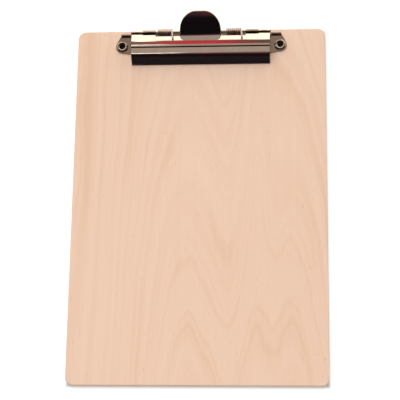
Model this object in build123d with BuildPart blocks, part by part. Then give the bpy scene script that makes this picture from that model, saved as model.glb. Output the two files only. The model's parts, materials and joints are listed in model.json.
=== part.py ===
from build123d import *
import os
from math import cos, radians, sin, tan

# A5 wooden clipboard with a hinged, sprung metal clip. Millimetres, +Z out of the writing face,
# +Y towards the clip, origin at the centre of the board's back face.

# Board
board_width = 160.0
board_length = 230.0
board_thickness = 5.0
board_corner_radius = 5.0
board_edge_ease = 0.5

# Eyelets, the hollow rivets that hold the clip to the board
eyelet_spacing = 102.0
eyelet_setback = 11.2                 # centre below the board's top edge
eyelet_bore_radius = 1.6
eyelet_wall = 0.4
eyelet_head_radius = 3.8
eyelet_head_height = 0.95
eyelet_flange_radius = 3.1
eyelet_flange_thickness = 0.5
flange_corner_radius = 0.35
eyelet_recess_radius = 3.4
eyelet_recess_depth = 0.65
rivet_clearance = 0.05

# Hinge
pin_setback = 3.3                     # pin axis below the board's top edge
pin_height = 4.5                      # pin axis above the writing face
pin_radius = 1.0
pin_head_radius = 1.3
pin_head_length = 0.45
running_clearance = 0.03
end_play = 0.1                        # between neighbouring knuckles and under the pin's heads
jaw_knuckle_length = 7.2
plate_knuckle_length = 8.2
jaw_knuckle_wrap = 285.0              # how far each knuckle's sheet is rolled around the pin
plate_knuckle_wrap = 265.0

# Base plate
plate_sheet = 0.8
plate_front_setback = 16.5            # front edge below the board's top edge
plate_front_half_width = 43.0
plate_rear_setback = 3.4
plate_rear_half_width = 51.7
plate_ear_radius = 4.2
plate_bend_radius = 0.9
plate_bend_overlap = 2.0              # flat run of each upturned piece inside the plate
ear_flange_height = 2.8
ear_flange_inner_x = 45.2
spring_shelf_setback = 0.6            # shelf behind the pin, under the springs' rear legs
spring_shelf_half_width = 28.6

# Jaw: distance in front of the pin axis, and height of the sheet's middle above the writing face
jaw_half_width = 44.5
jaw_sheet = 0.75
jaw_lip = (20.25, 0.29)
jaw_nose = (15.95, 5.8)
jaw_step_foot = (10.8, 5.88)
jaw_step_crest = (10.15, 6.36)
jaw_valley = (9.1, 6.28)
jaw_ridge = (6.55, 6.55)
nose_bend_radius = 3.0
step_bend_radius = 0.45
valley_bend_radius = 3.0
ridge_bend_radius = 1.2
knuckle_bend_radius = 0.5
slope_angle = 14.5                    # fall of the sheet from the ridge back to the knuckles
knuckle_relief = 2.15                 # the slope ends this far in front of the pin axis
spring_relief = 3.15                  # and this far where the springs are

# Thumb tab
tab_width = 26.6
tab_angle = 38.0                      # rise of the tab above the board
tab_bend_forward = 2.4                # vertex of the bend, in front of the pin axis
tab_bend_radius = 2.6
tab_length = 15.6                     # from the bend's vertex to the tip
tab_shoulder_width = 10.5             # each side narrows by this much ...
tab_shoulder_length = 12.4            # ... over this length
tab_curl_angle = 27.0                 # the tab curls back towards its tip by this angle ...
tab_curl_radius = 13.0                # ... at this radius
tab_rim_depth = 2.3
tab_rim_radius = 1.0
tab_foot_radius = 4.2
tab_pin_relief = 1.35
tab_slot_gap = 0.15
tongue_overlap = 0.1                  # how far the tongue runs on past its bend, into the dish

# Springs
wire_radius = 0.6
coil_radius = 2.2                     # of the wire's middle
coil_pitch = 1.27
coil_full_turns = 7
leg_rise = 7.0                        # rise of the front leg above the board
front_leg_length = 5.9
rear_leg_gap = 0.08
coil_starts = {"spring_left": -27.5, "spring_right": 17.0}

hinge_y = board_length / 2 - pin_setback
hinge_z = board_thickness + pin_height
plate_top = board_thickness + plate_sheet
eyelet_y = board_length / 2 - eyelet_setback
eyelet_centres = [(-eyelet_spacing / 2, eyelet_y), (eyelet_spacing / 2, eyelet_y)]


def from_pin(point):
    """Y and Z of a point given by its distance in front of the pin axis and its height."""
    forward, height = point
    return (hinge_y - forward, board_thickness + height)


os.makedirs("parts", exist_ok=True)

# Plywood board with two rivet holes, recessed at the back
with BuildPart() as board:
    with BuildSketch():
        RectangleRounded(board_width, board_length, board_corner_radius)
    extrude(amount=board_thickness)
    chamfer(board.faces().filter_by(Axis.Z).edges(), board_edge_ease)
    with Locations(*eyelet_centres):
        Hole(eyelet_bore_radius + eyelet_wall + rivet_clearance)
    with BuildSketch():
        with Locations(*eyelet_centres):
            Circle(eyelet_recess_radius)
    extrude(amount=eyelet_recess_depth, mode=Mode.SUBTRACT)
board.part.label = "board"
export_step(board.part, "parts/board.step")

# Eyelets: a tube with a rounded head on the plate and a clinched flange sunk in the board's back
eyelet_tube_radius = eyelet_bore_radius + eyelet_wall
flange_bottom = eyelet_recess_depth - eyelet_flange_thickness
for name, (eyelet_x, _) in zip(("eyelet_left", "eyelet_right"), eyelet_centres):
    with BuildPart() as eyelet:
        with BuildSketch(Plane.XZ.offset(-eyelet_y)):
            with BuildLine():
                ThreePointArc(
                    (eyelet_x + eyelet_head_radius, plate_top),
                    (eyelet_x + (eyelet_bore_radius + eyelet_head_radius) / 2,
                     plate_top + eyelet_head_height),
                    (eyelet_x + eyelet_bore_radius, plate_top))
                Polyline(
                    (eyelet_x + eyelet_bore_radius, plate_top),
                    (eyelet_x + eyelet_bore_radius, flange_bottom),
                    (eyelet_x + eyelet_flange_radius, flange_bottom),
                    (eyelet_x + eyelet_flange_radius, eyelet_recess_depth),
                    (eyelet_x + eyelet_tube_radius, eyelet_recess_depth),
                    (eyelet_x + eyelet_tube_radius, plate_top),
                    (eyelet_x + eyelet_head_radius, plate_top))
            make_face()
        revolve(axis=Axis((eyelet_x, eyelet_y, 0), (0, 0, 1)))
        fillet(eyelet.edges().filter_by(GeomType.CIRCLE).group_by(Axis.Z)[0], flange_corner_radius)
    eyelet.part.label = name
    export_step(eyelet.part, f"parts/{name}.step")

# Base plate: flat sheet with rounded ears at the eyelets, flanges behind the ears, a shelf behind
# the springs, and two knuckles rolled over the pin from the rear
plate_knuckle_inner_x = jaw_half_width - jaw_knuckle_length - end_play - plate_knuckle_length
plate_knuckle_x = plate_knuckle_inner_x + plate_knuckle_length / 2
plate_roll_radius = pin_radius + plate_sheet / 2
plate_middle = board_thickness + plate_sheet / 2
flange_y = board_length / 2 - plate_rear_setback - plate_sheet / 2
flange_width = plate_rear_half_width - ear_flange_inner_x
with BuildPart() as base_plate:
    with BuildSketch(Plane.XY.offset(board_thickness)):
        with BuildSketch(mode=Mode.PRIVATE) as corner_points:
            with Locations(*eyelet_centres):
                Circle(plate_ear_radius)
            with Locations((0, board_length / 2 - plate_front_setback)):
                Rectangle(2 * plate_front_half_width, plate_sheet, align=(Align.CENTER, Align.MIN))
            with Locations((0, board_length / 2 - plate_rear_setback)):
                Rectangle(2 * plate_rear_half_width, plate_sheet, align=(Align.CENTER, Align.MAX))
        make_hull(corner_points.edges())
        with Locations((0, board_length / 2 - spring_shelf_setback)):
            Rectangle(2 * spring_shelf_half_width, pin_setback, align=(Align.CENTER, Align.MAX))
    extrude(amount=plate_sheet)
    for side in (-1, 1):
        with BuildSketch(Plane.YZ.offset(side * plate_knuckle_x)):
            with BuildLine():
                FilletPolyline(
                    (hinge_y - plate_bend_overlap, plate_middle),
                    (hinge_y + plate_roll_radius, plate_middle),
                    (hinge_y + plate_roll_radius, hinge_z),
                    radius=plate_bend_radius)
                CenterArc((hinge_y, hinge_z), plate_roll_radius, 0, plate_knuckle_wrap)
            trace(line_width=plate_sheet)
        extrude(amount=plate_knuckle_length / 2, both=True)
        flange_x = side * (ear_flange_inner_x + flange_width / 2)
        with BuildSketch(Plane.YZ.offset(flange_x)):
            with BuildLine():
                FilletPolyline(
                    (flange_y - plate_bend_overlap, plate_middle),
                    (flange_y, plate_middle),
                    (flange_y, board_thickness + ear_flange_height),
                    radius=plate_bend_radius)
            trace(line_width=plate_sheet)
        extrude(amount=flange_width / 2, both=True)
    with Locations(*[(x, y, plate_top) for x, y in eyelet_centres]):
        Hole(eyelet_tube_radius + rivet_clearance, depth=2 * plate_sheet)
base_plate.part.label = "base_plate"
export_step(base_plate.part, "parts/base_plate.step")

# Jaw: one bent sheet with a lip, nose, stepped ridge and slope, a knuckle rolled under the pin at
# each end, and a thumb tab bent up from the middle of the slope
jaw_knuckle_x = jaw_half_width - jaw_knuckle_length / 2
jaw_roll_radius = pin_radius + running_clearance + jaw_sheet / 2
ridge_y, ridge_z = from_pin(jaw_ridge)
tab_rise = radians(tab_angle)
tab_start = tab_bend_radius * tan(tab_rise / 2)
tab_plane = Plane(
    origin=(0, hinge_y - tab_bend_forward, ridge_z),
    x_dir=(1, 0, 0),
    z_dir=(0, -sin(tab_rise), cos(tab_rise)))


def slope_point(forward):
    """The point of the slope's middle line at a distance in front of the pin axis."""
    return from_pin((forward, jaw_ridge[1] - (jaw_ridge[0] - forward) * tan(radians(slope_angle))))


def tab_outline(inset):
    """The tab's D shape beyond its bend, inset from its edge."""
    half_width = tab_width / 2 - inset
    tip = tab_length - inset
    shoulder = tab_length - tab_shoulder_length
    tip_half_width = tab_width / 2 - tab_shoulder_width
    with BuildLine() as outline:
        Polyline((-half_width, shoulder), (-half_width, tab_start), (half_width, tab_start),
                 (half_width, shoulder))
        EllipticalCenterArc((tip_half_width, shoulder), tab_shoulder_width - inset, tip - shoulder,
                            0, arc_size=90)
        EllipticalCenterArc((-tip_half_width, shoulder), tab_shoulder_width - inset, tip - shoulder,
                            90, arc_size=90)
        Line((-tip_half_width, tip), (tip_half_width, tip))
    return outline.line


tab_side_plane = Plane(origin=tab_plane.origin, x_dir=tab_plane.y_dir, z_dir=(1, 0, 0))


def tab_block(inset, top):
    """The tab's block, inset from its outline, curling at the tip, its top above the sheet's middle."""
    curl_radius = tab_curl_radius + top
    with BuildPart() as block:
        with BuildSketch(tab_plane.offset(top)):
            add(tab_outline(inset))
            make_face()
        extrude(amount=-2 * tab_rim_depth)
        with BuildSketch(tab_side_plane):
            with BuildLine():
                run = Line((0, top), (tab_length - tab_curl_radius * sin(radians(tab_curl_angle)), top))
                curl = JernArc(run @ 1, run % 1, curl_radius, -tab_curl_angle)
                Polyline(curl @ 1, curl @ 1 - Vector(0, tab_rim_depth), (0, top - tab_rim_depth), (0, top))
            make_face()
        extrude(amount=tab_width, both=True, mode=Mode.INTERSECT)
    return block.part


with BuildPart() as tab_dish:
    add(tab_block(0, jaw_sheet / 2))
    rim_edges = []
    for face in tab_dish.faces():
        if face.normal_at().dot(tab_plane.z_dir) > cos(radians(tab_curl_angle)):
            for edge in face.edges():
                middle = tab_plane.to_local_coords(edge.center())
                if abs(middle.X) > tab_width / 4 or middle.Y > tab_length - jaw_sheet:
                    rim_edges.append(edge)
    fillet(rim_edges, tab_rim_radius)
    add(tab_block(jaw_sheet, -jaw_sheet / 2), mode=Mode.SUBTRACT)
    with BuildSketch(Plane.YZ):
        with Locations((hinge_y, hinge_z)):
            Circle(tab_pin_relief)
    extrude(amount=tab_width, both=True, mode=Mode.SUBTRACT)

tongue_rise = tab_start + tongue_overlap
with BuildPart() as tab_tongue:
    with BuildSketch(Plane.YZ):
        with BuildLine():
            FilletPolyline(
                (ridge_y, ridge_z),
                (hinge_y - tab_bend_forward, ridge_z),
                (hinge_y - tab_bend_forward + tongue_rise * cos(tab_rise),
                 ridge_z + tongue_rise * sin(tab_rise)),
                radius=tab_bend_radius)
        trace(line_width=jaw_sheet)
    extrude(amount=tab_width / 2, both=True)
    with BuildSketch(Plane.XY.offset(plate_top)) as tongue_plan:
        with Locations((0, ridge_y)):
            Rectangle(tab_width, tab_length, align=(Align.CENTER, Align.MIN))
        fillet(tongue_plan.vertices().group_by(Axis.Y)[0], tab_foot_radius)
    extrude(amount=tab_length, mode=Mode.INTERSECT)

with BuildPart() as jaw:
    with BuildSketch(Plane.YZ):
        with BuildLine():
            FilletPolyline(
                *[from_pin(point) for point in (
                    jaw_lip, jaw_nose, jaw_step_foot, jaw_step_crest, jaw_valley, jaw_ridge)],
                slope_point(knuckle_relief),
                radius=[nose_bend_radius, step_bend_radius, step_bend_radius, valley_bend_radius,
                        ridge_bend_radius])
        trace(line_width=jaw_sheet)
    extrude(amount=jaw_half_width, both=True)
    with BuildSketch(Plane.XY.offset(plate_top)):
        with Locations((0, hinge_y - spring_relief)):
            Rectangle(2 * plate_knuckle_inner_x, spring_relief, align=(Align.CENTER, Align.MIN))
        with BuildSketch(mode=Mode.PRIVATE) as tab_slot:
            with Locations((0, ridge_y + tab_slot_gap)):
                Rectangle(tab_width + 2 * tab_slot_gap, jaw_ridge[0], align=(Align.CENTER, Align.MIN))
            fillet(tab_slot.vertices().group_by(Axis.Y)[0], tab_foot_radius + tab_slot_gap)
        add(tab_slot.sketch)
    extrude(amount=jaw_ridge[1], mode=Mode.SUBTRACT)
    add(tab_tongue.part)
    add(tab_dish.part)
    for side in (-1, 1):
        with BuildSketch(Plane.YZ.offset(side * jaw_knuckle_x)):
            with BuildLine():
                FilletPolyline(
                    slope_point(spring_relief),
                    slope_point(jaw_roll_radius),
                    (hinge_y - jaw_roll_radius, hinge_z),
                    radius=knuckle_bend_radius)
                CenterArc((hinge_y, hinge_z), jaw_roll_radius, 180, jaw_knuckle_wrap)
            trace(line_width=jaw_sheet)
        extrude(amount=jaw_knuckle_length / 2, both=True)
jaw.part.label = "jaw"
export_step(jaw.part, "parts/jaw.step")

# Hinge pin, held by the base plate's knuckles, with a small riveted head at each end
with BuildPart() as hinge_pin:
    with BuildSketch(Plane.YZ):
        with Locations((hinge_y, hinge_z)):
            Circle(pin_radius)
    extrude(amount=jaw_half_width + end_play, both=True)
    for side in (-1, 1):
        with BuildSketch(Plane.YZ.offset(side * (jaw_half_width + end_play))):
            with Locations((hinge_y, hinge_z)):
                Circle(pin_head_radius)
        extrude(amount=side * pin_head_length)
    end_faces = hinge_pin.faces().sort_by(Axis.X)
    fillet(end_faces[0].edges() + end_faces[-1].edges(), pin_head_length / 2)
hinge_pin.part.label = "hinge_pin"
export_step(hinge_pin.part, "parts/hinge_pin.step")

# Torsion springs around the pin: the rear leg stands on the base plate behind the pin, the front
# leg lies over the jaw's slope
for name, coil_start in coil_starts.items():
    coil_plane = Plane(origin=(coil_start, hinge_y, hinge_z), x_dir=(0, 1, 0), z_dir=(1, 0, 0))
    coil_turns = coil_full_turns + (90 - leg_rise) / 360
    coil = coil_plane * Helix(coil_pitch, coil_pitch * coil_turns, coil_radius)
    with BuildPart() as spring:
        with BuildSketch(Plane(origin=coil @ 0, z_dir=coil % 0)):
            Circle(wire_radius)
        sweep(path=coil, is_frenet=True)
        rear_leg_length = (hinge_z - plate_top - rear_leg_gap) / (coil % 0).Z
        legs = ((coil @ 0, -(coil % 0) * rear_leg_length), (coil @ 1, (coil % 1) * front_leg_length))
        for leg_root, leg_run in legs:
            with BuildLine():
                leg = Line(leg_root, leg_root + leg_run)
            with BuildSketch(Plane(origin=leg @ 0, z_dir=leg % 0)):
                Circle(wire_radius)
            sweep(path=leg)
    spring.part.label = name
    export_step(spring.part, f"parts/{name}.step")
print("OK")
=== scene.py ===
import json
from math import atan2, cos, pi, radians, sin

import bpy
from mathutils import Matrix, Vector


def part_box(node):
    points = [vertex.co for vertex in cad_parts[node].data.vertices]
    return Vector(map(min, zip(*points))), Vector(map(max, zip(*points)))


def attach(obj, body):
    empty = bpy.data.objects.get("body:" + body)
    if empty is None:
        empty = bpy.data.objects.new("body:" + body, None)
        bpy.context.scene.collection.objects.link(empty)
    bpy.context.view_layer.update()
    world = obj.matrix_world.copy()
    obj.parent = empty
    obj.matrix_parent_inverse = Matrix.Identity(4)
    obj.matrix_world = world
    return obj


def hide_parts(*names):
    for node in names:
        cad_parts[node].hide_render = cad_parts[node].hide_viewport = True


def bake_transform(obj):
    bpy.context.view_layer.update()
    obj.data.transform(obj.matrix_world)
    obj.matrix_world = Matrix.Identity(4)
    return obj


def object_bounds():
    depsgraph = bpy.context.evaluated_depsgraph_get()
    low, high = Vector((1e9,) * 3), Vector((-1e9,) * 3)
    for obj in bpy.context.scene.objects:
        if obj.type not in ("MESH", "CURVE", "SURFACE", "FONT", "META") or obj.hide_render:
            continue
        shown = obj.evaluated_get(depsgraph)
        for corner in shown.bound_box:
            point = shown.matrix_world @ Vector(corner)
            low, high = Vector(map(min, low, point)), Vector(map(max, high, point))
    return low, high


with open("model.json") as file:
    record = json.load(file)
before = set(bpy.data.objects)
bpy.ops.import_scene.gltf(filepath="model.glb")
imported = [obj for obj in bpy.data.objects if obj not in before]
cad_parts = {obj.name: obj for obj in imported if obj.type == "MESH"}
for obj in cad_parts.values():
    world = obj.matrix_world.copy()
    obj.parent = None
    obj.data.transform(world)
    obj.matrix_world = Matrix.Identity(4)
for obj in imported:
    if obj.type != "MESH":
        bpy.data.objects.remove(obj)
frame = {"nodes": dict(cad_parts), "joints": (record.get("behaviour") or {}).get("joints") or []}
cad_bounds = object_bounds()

# A wooden clipboard with a plated, sprung clip. Metres throughout; MM turns millimetres into them.
MM = 0.001

hinge = Vector(frame["joints"][0]["pos_m"])
board_low, board_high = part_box("board")

# Sheet, wire and rivet sizes, as in the part
PLATE_SHEET = 0.8 * MM
WIRE_RADIUS = 0.6 * MM
COIL_RADIUS = 2.2 * MM
COIL_PITCH = 1.27 * MM
COIL_TURN = radians(7 * 360 + 83)     # from the rear leg round to the front leg
FRONT_LEG = 5.9 * MM
REAR_LEG_GAP = 0.08 * MM
EYELET_BORE = 1.6 * MM
EYELET_TUBE = 2.0 * MM
EYELET_FLANGE = 3.1 * MM
EYELET_CRIMP = 0.47 * MM
EYELET_CORNER = 0.22 * MM
CRIMP_NOTCH = 0.09 * MM
CRIMP_NOTCHES = 6
EASED_EDGE = 0.12 * MM

# What the metal mirrors: degrees back from straight overhead (negative is in front), and colour
STUDIO_BANDS = (
    (-180, (0.50, 0.49, 0.48)),
    (-100, (0.30, 0.28, 0.27)),
    (-90, (0.014, 0.011, 0.012)),
    (-78, (0.022, 0.013, 0.015)),
    (-60, (0.006, 0.005, 0.006)),
    (-34, (0.010, 0.006, 0.009)),
    (-12, (0.048, 0.026, 0.034)),
    (2, (0.050, 0.022, 0.020)),
    (5, (0.20, 0.115, 0.08)),
    (13, (0.28, 0.18, 0.13)),
    (18, (0.50, 0.385, 0.32)),
    (36, (0.43, 0.34, 0.275)),
    (41, (1.7, 1.55, 1.25)),
    (80, (1.7, 1.6, 1.4)),
    (100, (1.2, 1.2, 1.2)),
    (180, (0.50, 0.49, 0.48)),
)
# A red card, a faint red glow and a white strip among the bands: each one's colour
RED_CARD = (0.70, 0.055, 0.075)
RED_GLOW = (0.11, 0.024, 0.022)
WHITE_STRIP = (5.0, 4.6, 4.0)

# Bright nickel plate, a darker and browner copy of it for the small parts that paints shade into them, and
# the springs' warmer wire, with the grime on them and two tones of painted shade deep in the eyelets' bores
NICKEL = (0.72, 0.69, 0.645)
SHADED_NICKEL = (0.43, 0.365, 0.315)
WARM_WIRE = (0.70, 0.59, 0.53)
GRIME = (0.36, 0.31, 0.27)
BORE_SHADE_TONES = ((0.09, 0.06, 0.045), (0.20, 0.145, 0.11))

# The birch veneer's pale wood, darker late wood, warmer left edge, pores and flecks
BIRCH_PALE = (0.85, 0.645, 0.525)
BIRCH_LATE = (0.745, 0.50, 0.345)
BIRCH_WARM = (0.79, 0.50, 0.32)
BIRCH_PORE = (0.45, 0.27, 0.17)
BIRCH_FLECK = (0.42, 0.27, 0.18)

# The plies' long grain and end grain in two tones each, their glue, and where they meet as shares of
# the board's thickness
LONG_PLY = ((0.80, 0.60, 0.46), (0.70, 0.50, 0.36))
END_PLY = ((0.66, 0.47, 0.34), (0.52, 0.35, 0.24))
PLY_GLUE = (0.33, 0.20, 0.13)
PLY_JOINTS = (0.18, 0.40, 0.60, 0.82)
PLY_BLUR = 0.01
GLUE_SPREAD = 0.015

# The veneer's figure at places across the board, all in millimetres: how far down the board a growth
# line is carried there, and how much the board's length counts (little where the lines run straight)
FIGURE = (
    (-80, 330, 0.12),
    (-64, 250, 0.12),
    (-48, 168, 0.16),
    (-34, 88, 0.45),
    (-20, 22, 0.9),
    (-6, -8, 1.0),
    (8, 24, 1.0),
    (18, 60, 1.0),
    (27, 10, 0.8),
    (37, -60, 0.45),
    (48, 10, 0.8),
    (60, -26, 1.0),
    (78, 70, 0.8),
)
FIGURE_LOW = -100                     # the least that a line is carried, and the range from there
FIGURE_SPAN = 500

FLOOR_SIZE = 8.0
FLOOR_SHINE = 0.78
DOME_RADIUS = 3.9


# --- Node helpers -------------------------------------------------------------------------------

class Nodes:
    """A node tree, with short ways to add and join nodes."""

    def __init__(self, owner):
        owner.use_nodes = True
        self.tree = owner.node_tree

    def add(self, kind, **settings):
        made = self.tree.nodes.new("ShaderNode" + kind)
        for name, value in settings.items():
            setattr(made, name, value)
        return made

    def feed(self, socket, value):
        if isinstance(value, bpy.types.NodeSocket):
            self.tree.links.new(value, socket)
        else:
            socket.default_value = value

    def math(self, operation, a, b=0.0, c=0.0):
        made = self.add("Math", operation=operation)
        for socket, value in zip(made.inputs, (a, b, c)):
            self.feed(socket, value)
        return made.outputs[0]

    def total(self, *terms):
        """The sum of values, each given with its weight."""
        value = 0.0
        for term, weight in terms:
            value = self.math("MULTIPLY_ADD", term, weight, value)
        return value

    def step(self, value, low, high, start=0.0, end=1.0):
        """A smooth step from start to end as the value goes from low to high."""
        made = self.add("MapRange", interpolation_type="SMOOTHSTEP")
        for name, number in (("Value", value), ("From Min", low), ("From Max", high),
                             ("To Min", start), ("To Max", end)):
            self.feed(made.inputs[name], number)
        return made.outputs["Result"]

    def window(self, value, rise, fall):
        """One between two smooth steps, each given by where it starts and ends."""
        return self.math("MULTIPLY", self.step(value, *rise), self.step(value, *fall, 1.0, 0.0))

    def split(self, vector):
        made = self.add("SeparateXYZ")
        self.feed(made.inputs[0], vector)
        return made.outputs[:3]

    def place(self, scale=(1, 1, 1)):
        """The object's own coordinates in metres, times the scale."""
        mapping = self.add("Mapping")
        mapping.inputs["Scale"].default_value = scale
        self.feed(mapping.inputs["Vector"], self.add("TexCoord").outputs["Object"])
        return mapping.outputs[0]

    def noise(self, vector, scale, detail=3.0, roughness=0.55):
        made = self.add("TexNoise")
        for name, value in (("Vector", vector), ("Scale", scale), ("Detail", detail),
                            ("Roughness", roughness)):
            self.feed(made.inputs[name], value)
        return made.outputs["Fac"]

    def rings(self, value, scale, detail=2.0):
        """Noise along one value, for growth lines."""
        made = self.add("TexNoise", noise_dimensions="1D")
        for name, number in (("W", value), ("Scale", scale), ("Detail", detail)):
            self.feed(made.inputs[name], number)
        return made.outputs["Fac"]

    def ramp(self, value, stops, interpolation="LINEAR"):
        made = self.add("ValToRGB")
        self.feed(made.inputs[0], value)
        made.color_ramp.interpolation = interpolation
        elements = made.color_ramp.elements
        while len(elements) < len(stops):
            elements.new(1.0)
        for element, (position, colour) in zip(elements, stops):
            element.position = position
            element.color = (*colour, 1.0)
        return made.outputs["Color"]

    def mix(self, share, a, b):
        made = self.add("Mix", data_type="RGBA")
        for socket, value in zip((made.inputs[0], made.inputs[6], made.inputs[7]), (share, a, b)):
            if isinstance(value, tuple):
                value = (*value, 1.0)
            self.feed(socket, value)
        return made.outputs[2]

    def bump(self, height, strength, distance, normal=None):
        made = self.add("Bump")
        made.inputs["Strength"].default_value = strength
        made.inputs["Distance"].default_value = distance
        self.feed(made.inputs["Height"], height)
        if normal is not None:
            self.feed(made.inputs["Normal"], normal)
        return made.outputs["Normal"]


def surface_of(name):
    """A new material, its nodes and the inputs of its main shader."""
    material = bpy.data.materials.new(name)
    nodes = Nodes(material)
    return material, nodes, nodes.tree.nodes["Principled BSDF"].inputs


# --- Materials ----------------------------------------------------------------------------------

def plated(name, tint, polish=0.045, scratches=(350, 9000, 9000), dull_and_shaded_below=None):
    """Bright nickel plate: a little cloudy and uneven, with hair scratches along the sheet's run.
    Below a height, where one is given, the plate is dull, and painted dark brown as shade for a deep bore."""
    material, n, surface = surface_of(name)
    surface["Metallic"].default_value = 1.0
    place = n.place()
    cloud = n.noise(place, 70.0, 2.0)
    smudge = n.noise(place, 260.0, 4.0, 0.6)
    hair = n.noise(n.place(scratches), 1.0, 2.0, 0.7)
    grime = n.step(smudge, 0.55, 0.8)
    colour = n.mix(n.step(cloud, 0.3, 0.7), tuple(c * 0.94 for c in tint), tint)
    colour = n.mix(n.math("MULTIPLY", grime, 0.22), colour, GRIME)
    rough = n.total((smudge, 0.07), (grime, 0.05), (hair, 0.03), (polish - 0.04, 1.0))
    if dull_and_shaded_below is not None:
        # Below the given height the roughness rises and the colour turns dark brown: painted shade in the
        # bore
        height = n.split(n.add("TexCoord").outputs["Object"])[2]
        dull_and_shade = n.step(height, dull_and_shaded_below - 0.7 * MM, dull_and_shaded_below, 1.0, 0.0)
        colour = n.mix(dull_and_shade, colour, n.mix(smudge, *BORE_SHADE_TONES))
        rough = n.math("MULTIPLY_ADD", dull_and_shade, 0.35, rough)
    n.feed(surface["Base Color"], colour)
    n.feed(surface["Roughness"], rough)
    waves = n.bump(cloud, 1.0, 0.03 * MM)
    n.feed(surface["Normal"], n.bump(hair, 0.10, 0.01 * MM, waves))
    return material


def growth_lines(n, x, y):
    """The tone of the rotary-cut veneer's figure: tall arches and valleys of growth lines."""
    width = (board_high.x - board_low.x) / MM
    across = n.math("MULTIPLY_ADD", x, 1 / (width * MM), 0.5)
    stops = [((mm + width / 2) / width, (down - FIGURE_LOW) / FIGURE_SPAN, share)
             for mm, down, share in FIGURE]
    carried = n.ramp(across, [(at, (down,) * 3) for at, down, _ in stops], "B_SPLINE")
    counted = n.ramp(across, [(at, (share,) * 3) for at, _, share in stops], "B_SPLINE")
    wander = n.noise(n.place((34, 10, 9)), 1.0, 3.0)
    field = n.total((n.math("MULTIPLY", y, counted), 1 / MM), (carried, FIGURE_SPAN), (wander, 46.0))
    ring = n.step(n.rings(field, 1 / 27, 2.0), 0.42, 0.66)
    late = n.math("ABSOLUTE", n.math("SUBTRACT", n.rings(field, 1 / 46, 1.0), 0.5))
    patches = n.step(n.noise(n.place((16, 7, 9)), 1.0, 1.0), 0.35, 0.6)
    late = n.math("MULTIPLY", n.step(late, 0.0, 0.05, 1.0, 0.0), patches)
    fine = n.rings(field, 1 / 9, 2.0)
    return n.total((ring, 0.34), (late, 0.50), (fine, 0.16))


def birch(name):
    """Sanded birch plywood: figured face veneers, and plies with end grain along its edges."""
    material, n, surface = surface_of(name)
    x, y, z = n.split(n.add("TexCoord").outputs["Object"])
    facing = n.split(n.add("NewGeometry").outputs["Normal"])
    fibre = n.noise(n.place((1500, 26, 900)), 1.0, 4.0, 0.65)
    strand = n.noise(n.place((420, 9, 300)), 1.0, 2.0)
    blotch = n.noise(n.place((22, 9, 20)), 1.0, 2.0)
    pores = n.step(n.noise(n.place((1900, 150, 1900)), 1.0, 1.0), 0.69, 0.78)
    flecks = n.step(n.noise(n.place((520, 300, 520)), 1.0, 2.0), 0.70, 0.76)
    lines = growth_lines(n, x, y)
    tone = n.total((lines, 0.52), (fibre, 0.26), (strand, 0.30), (blotch, 0.30), (-0.30, 1.0))
    face = n.mix(tone, BIRCH_PALE, BIRCH_LATE)
    warm = n.math("MULTIPLY", n.step(x, -0.080, -0.062, 0.22, 0.0), n.step(y, 0.0, 0.06))
    face = n.mix(warm, face, BIRCH_WARM)
    face = n.mix(n.math("MULTIPLY", pores, 0.22), face, BIRCH_PORE)
    flecks = n.math("MULTIPLY", flecks, n.step(x, 0.045, 0.070, 0.08, 0.34))
    face = n.mix(flecks, face, BIRCH_FLECK)

    # Five plies: the second and fourth run across the others, so they show end grain on the long edges
    depth = n.math("ADD", z, n.total((strand, 0.10 * MM), (-0.05 * MM, 1.0)))
    depth = n.math("DIVIDE", depth, board_high.z - board_low.z)
    black, white = (0, 0, 0), (1, 1, 1)
    turns = [(0.0, black)]
    glued = [(0.0, black)]
    for joint, before, after in zip(PLY_JOINTS, (black, white) * 2, (white, black) * 2):
        turns += [(joint - PLY_BLUR, before), (joint + PLY_BLUR, after)]
        glued += [(joint - GLUE_SPREAD, black), (joint, white), (joint + GLUE_SPREAD, black)]
    crossed = n.ramp(depth, turns)
    glue = n.ramp(depth, glued)
    end_facing = n.step(n.math("ABSOLUTE", facing[1]), 0.4, 0.8)
    end_grain = n.math("ABSOLUTE", n.math("SUBTRACT", end_facing, crossed))
    speckle = n.noise(n.place((2600, 2600, 2600)), 1.0, 2.0)
    streak = n.noise(n.place((60, 60, 5200)), 1.0, 3.0)
    long_ply = n.mix(streak, *LONG_PLY)
    end_ply = n.mix(n.step(speckle, 0.35, 0.65), *END_PLY)
    plies = n.mix(end_grain, long_ply, end_ply)
    plies = n.mix(n.math("MULTIPLY", glue, 0.6), plies, PLY_GLUE)
    on_edge = n.step(n.math("ABSOLUTE", facing[2]), 0.45, 0.92, 1.0, 0.0)
    n.feed(surface["Base Color"], n.mix(on_edge, face, plies))
    n.feed(surface["Roughness"], n.total((fibre, 0.16), (on_edge, 0.18), (0.40, 1.0)))
    surface["Specular IOR Level"].default_value = 0.4
    grain = n.bump(fibre, 0.25, 0.04 * MM)
    n.feed(surface["Normal"], n.bump(n.math("MULTIPLY", speckle, on_edge), 0.3, 0.08 * MM, grain))
    return material


# --- Pieces -------------------------------------------------------------------------------------

def piece_from(name, points, faces, material):
    """A smooth-shaded mesh object."""
    mesh = bpy.data.meshes.new(name)
    mesh.from_pydata([tuple(p) for p in points], [], faces)
    mesh.polygons.foreach_set("use_smooth", [True] * len(mesh.polygons))
    mesh.materials.append(material)
    mesh.update()
    obj = bpy.data.objects.new(name, mesh)
    bpy.context.collection.objects.link(obj)
    return obj


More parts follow.
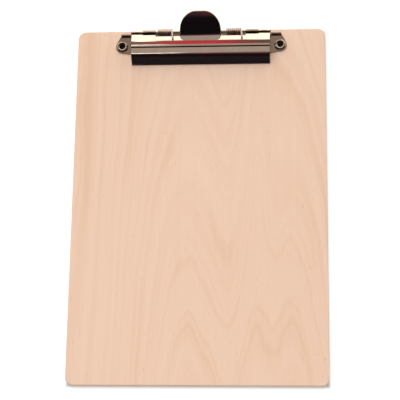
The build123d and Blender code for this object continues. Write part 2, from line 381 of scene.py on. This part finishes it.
def wire(name, path, radius, material, sides=18):
    """A round wire along a path, with rounded ends."""
    points = []
    ends = ((0.0, 1.0), (0.35, 0.94), (0.7, 0.71), (0.93, 0.36))    # share of the rounding, and of the radius
    rounding = 0.45 * radius
    before = (path[0] - path[1]).normalized() * rounding
    beyond = (path[-1] - path[-2]).normalized() * rounding
    first = [(path[0] + before * (out - 1), shrink) for out, shrink in reversed(ends)]
    last = [(path[-1] + beyond * (out - 1), shrink) for out, shrink in ends]
    rings = first + [(point, 1.0) for point in path[1:-1]] + last
    along = (path[1] - path[0]).normalized()
    across = along.orthogonal().normalized()
    for index, (centre, share) in enumerate(rings):
        ahead = rings[min(index + 1, len(rings) - 1)][0]
        behind = rings[max(index - 1, 0)][0]
        turned = (ahead - behind).normalized()
        across = (along.rotation_difference(turned) @ across).normalized()
        along = turned
        beside = along.cross(across)
        for side in range(sides):
            angle = 2 * pi * side / sides
            points.append(centre + radius * share * (cos(angle) * across + sin(angle) * beside))
    faces = []
    for ring in range(len(rings) - 1):
        for side in range(sides):
            here, there = ring * sides, (ring + 1) * sides
            after = (side + 1) % sides
            faces.append((here + side, here + after, there + after, there + side))
    faces.append(tuple(reversed(range(sides))))
    faces.append(tuple(range(len(points) - sides, len(points))))
    return piece_from(name, points, faces, material)


def torsion_spring(node, material):
    """A coil round the pin: its rear leg stands on the base plate and its front leg lies over the
    jaw."""
    lead = atan2(COIL_PITCH / (2 * pi), COIL_RADIUS)
    rear_leg = (hinge.z - board_high.z - PLATE_SHEET - REAR_LEG_GAP) / cos(lead)
    start_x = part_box(node)[0].x + WIRE_RADIUS * cos(lead) + rear_leg * sin(lead)

    def coil(angle):
        return Vector((start_x + COIL_PITCH * angle / (2 * pi),
                       hinge.y + COIL_RADIUS * cos(angle),
                       hinge.z + COIL_RADIUS * sin(angle)))

    def heading(angle):
        return Vector((sin(lead), -cos(lead) * sin(angle), cos(lead) * cos(angle)))

    steps = 48 * round(COIL_TURN / (2 * pi))
    path = [coil(0) - heading(0) * rear_leg * share for share in (1, 0.66, 0.33)]
    path += [coil(COIL_TURN * step / steps) for step in range(steps + 1)]
    path += [coil(COIL_TURN) + heading(COIL_TURN) * FRONT_LEG * share for share in (0.33, 0.66, 1)]
    spring = wire(node + "_wire", path, WIRE_RADIUS, material)
    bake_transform(spring)
    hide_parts(node)


def arc(centre, radii, start, end, count):
    """Points of an elliptical arc, as distance from the axis and height."""
    turns = [radians(start + (end - start) * i / (count - 1)) for i in range(count)]
    return [(centre[0] + radii[0] * cos(t), centre[1] + radii[1] * sin(t)) for t in turns]


def eyelet(node, material, sides=72):
    """A tubular rivet: a rolled head on the plate, a plain barrel, and a crimped flange at the back."""
    low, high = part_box(node)
    middle = (low + high) / 2
    head = (high.x - low.x) / 2
    seat = board_high.z + PLATE_SHEET
    roll = (head - EYELET_BORE) / 2
    under = seat - 0.01 * MM
    corner = EYELET_CORNER
    profile = arc((head - roll, seat), (roll, high.z - seat), 0, 180, 22)
    profile += [(EYELET_BORE, seat - 0.4 * MM), (EYELET_BORE, low.z + 1.2 * MM)]
    profile += arc((EYELET_BORE + 2 * corner, low.z + 2 * corner), (2 * corner, 2 * corner), 180, 270, 7)
    crimp_start = len(profile)
    profile += arc((EYELET_FLANGE - corner, low.z + corner), (corner, corner), 270, 450, 9)
    crimp_end = len(profile)
    profile += [(EYELET_TUBE, low.z + EYELET_CRIMP), (EYELET_TUBE, under), (head - 0.2 * MM, under)]
    points = []
    for side in range(sides):
        angle = 2 * pi * side / sides
        for index, (radius, height) in enumerate(profile):
            if crimp_start <= index < crimp_end:
                radius -= CRIMP_NOTCH * (0.5 - 0.5 * cos(CRIMP_NOTCHES * angle)) ** 3
            points.append((middle.x + radius * cos(angle), middle.y + radius * sin(angle), height))
    count = len(profile)
    faces = []
    for side in range(sides):
        here, there = side * count, (side + 1) % sides * count
        for index in range(count):
            beyond = (index + 1) % count
            faces.append((here + index, here + beyond, there + beyond, there + index))
    turned = piece_from(node + "_turned", points, faces, material)
    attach(turned, "base")
    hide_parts(node)


def ease_edges(node):
    """Rounds the sheet's cut edges a little."""
    obj = frame["nodes"][node]
    obj.modifiers.new("join_faces", "WELD").merge_threshold = 0.001 * MM
    ease = obj.modifiers.new("eased_edges", "BEVEL")
    ease.width = EASED_EDGE
    ease.segments = 2
    ease.limit_method = "ANGLE"
    ease.angle_limit = radians(40)
    ease.harden_normals = True


# --- Studio -------------------------------------------------------------------------------------

def studio():
    """Soft surroundings: bright behind the object, grey-brown overhead, a red card, dark in front."""
    world = bpy.data.worlds.new("studio")
    bpy.context.scene.world = world
    n = Nodes(world)
    x, y, z = n.split(n.add("TexCoord").outputs["Generated"])
    back = n.math("MULTIPLY", n.math("ARCTAN2", y, z), 180 / pi)
    share = n.math("MULTIPLY_ADD", back, 1 / 360, 0.5)
    colour = n.ramp(share, [((degrees + 180) / 360, band) for degrees, band in STUDIO_BANDS])
    beside = n.math("ABSOLUTE", n.math("ADD", x, 0.07))
    card = n.math("MULTIPLY", n.step(beside, 0.022, 0.046, 1.0, 0.0),
                  n.window(back, (2.5, 5.0), (11.5, 14.0)))
    colour = n.mix(card, colour, RED_CARD)
    glow = n.math("MULTIPLY", n.step(x, -0.060, -0.040), n.window(back, (-34.0, 2.0), (6.0, 14.0)))
    colour = n.mix(glow, colour, RED_GLOW)
    strip = n.math("MULTIPLY", n.window(x, (-0.66, -0.60), (-0.38, -0.20)),
                   n.window(back, (12.6, 13.6), (16.6, 17.6)))
    colour = n.mix(strip, colour, WHITE_STRIP)
    n.feed(n.tree.nodes["Background"].inputs["Color"], colour)


def stage_piece(name, material):
    obj = bpy.context.object
    obj.name = name
    obj.data.materials.append(material)
    return obj


def floor_and_backdrop():
    """A white floor that shines except under the board, and a pale dome behind everything."""
    material, n, surface = surface_of("studio_floor")
    x, y, _ = n.split(n.add("TexCoord").outputs["Object"])
    past_x = n.math("SUBTRACT", n.math("ABSOLUTE", x), board_high.x)
    past_y = n.math("SUBTRACT", n.math("ABSOLUTE", y), board_high.y)
    outside = n.math("MAXIMUM", past_x, past_y)
    surface["Base Color"].default_value = (0.50, 0.50, 0.50, 1)
    surface["Roughness"].default_value = 0.8
    surface["Emission Color"].default_value = (0.93, 0.97, 1.0, 1)
    n.feed(surface["Emission Strength"], n.step(outside, -0.002, 0.002, 0.0, FLOOR_SHINE))
    bpy.ops.mesh.primitive_plane_add(size=FLOOR_SIZE, location=(0, 0, cad_bounds[0][2]))
    stage_piece("studio_floor", material)

    material, _, surface = surface_of("studio_backdrop")
    surface["Base Color"].default_value = (0, 0, 0, 1)
    surface["Emission Color"].default_value = (0.95, 0.96, 0.97, 1)
    surface["Emission Strength"].default_value = 1.0
    bpy.ops.mesh.primitive_uv_sphere_add(segments=64, ring_count=32, radius=DOME_RADIUS)
    dome = stage_piece("studio_backdrop", material)
    dome.visible_diffuse = False
    dome.visible_glossy = False
    dome.visible_transmission = False
    dome.visible_shadow = False


def soft_light(name, place, size, energy):
    """A large soft light aimed at the origin, which doesn't show in the metal."""
    light = bpy.data.lights.new(name, "AREA")
    light.shape = "RECTANGLE"
    light.size = size
    light.size_y = size
    light.energy = energy
    light.color = (0.97, 0.985, 1.0)
    lamp = bpy.data.objects.new(name, light)
    bpy.context.collection.objects.link(lamp)
    aim = (-Vector(place)).to_track_quat("-Z", "Y").to_matrix().to_4x4()
    lamp.matrix_world = Matrix.Translation(place) @ aim
    lamp.visible_glossy = False


def camera():
    """The photograph's viewing angle."""
    data = bpy.data.cameras.new("camera")
    data.lens = 117.0
    data.sensor_width = 36.0
    data.clip_start = 0.01
    obj = bpy.data.objects.new("camera", data)
    bpy.context.collection.objects.link(obj)
    place = Vector((0.0595, -0.2138, 0.7861))
    target = Vector((0.0007, 0.0009, 0.005))
    aim = (target - place).to_track_quat("-Z", "Y").to_matrix()
    roll = Matrix.Rotation(radians(-15.11), 3, "Z")
    obj.matrix_world = Matrix.Translation(place) @ (aim @ roll).to_4x4()
    bpy.context.scene.camera = obj


# --- Scene --------------------------------------------------------------------------------------

studio()
soft_light("key", (-0.2, 0.45, 1.3), 1.2, 10.6)
soft_light("fill", (0.1, -0.9, 0.6), 0.9, 4.0)
floor_and_backdrop()
camera()
bpy.context.scene.view_settings.view_transform = "Standard"

# The base plate and pin take the darker nickel, which paints shade into their colour
for node, material in (
        ("board", birch("birch")),
        ("base_plate", plated("plate_nickel", SHADED_NICKEL, 0.09)),
        ("jaw", plated("jaw_nickel", NICKEL)),
        ("hinge_pin", plated("pin_nickel", SHADED_NICKEL, 0.10))):
    for held in frame["nodes"][node].material_slots:
        held.material = material
ease_edges("jaw")
ease_edges("base_plate")

spring_metal = plated("spring_nickel", WARM_WIRE, 0.40, scratches=(4000, 4000, 4000))
for node in ("spring_left", "spring_right"):
    torsion_spring(node, spring_metal)
# The eyelets take the darker nickel, painted shade, and a dark brown painted as shade inside the bore
eyelet_metal = plated("eyelet_nickel", SHADED_NICKEL, 0.08, dull_and_shaded_below=board_high.z + PLATE_SHEET)
for node in ("eyelet_left", "eyelet_right"):
    eyelet(node, eyelet_metal)
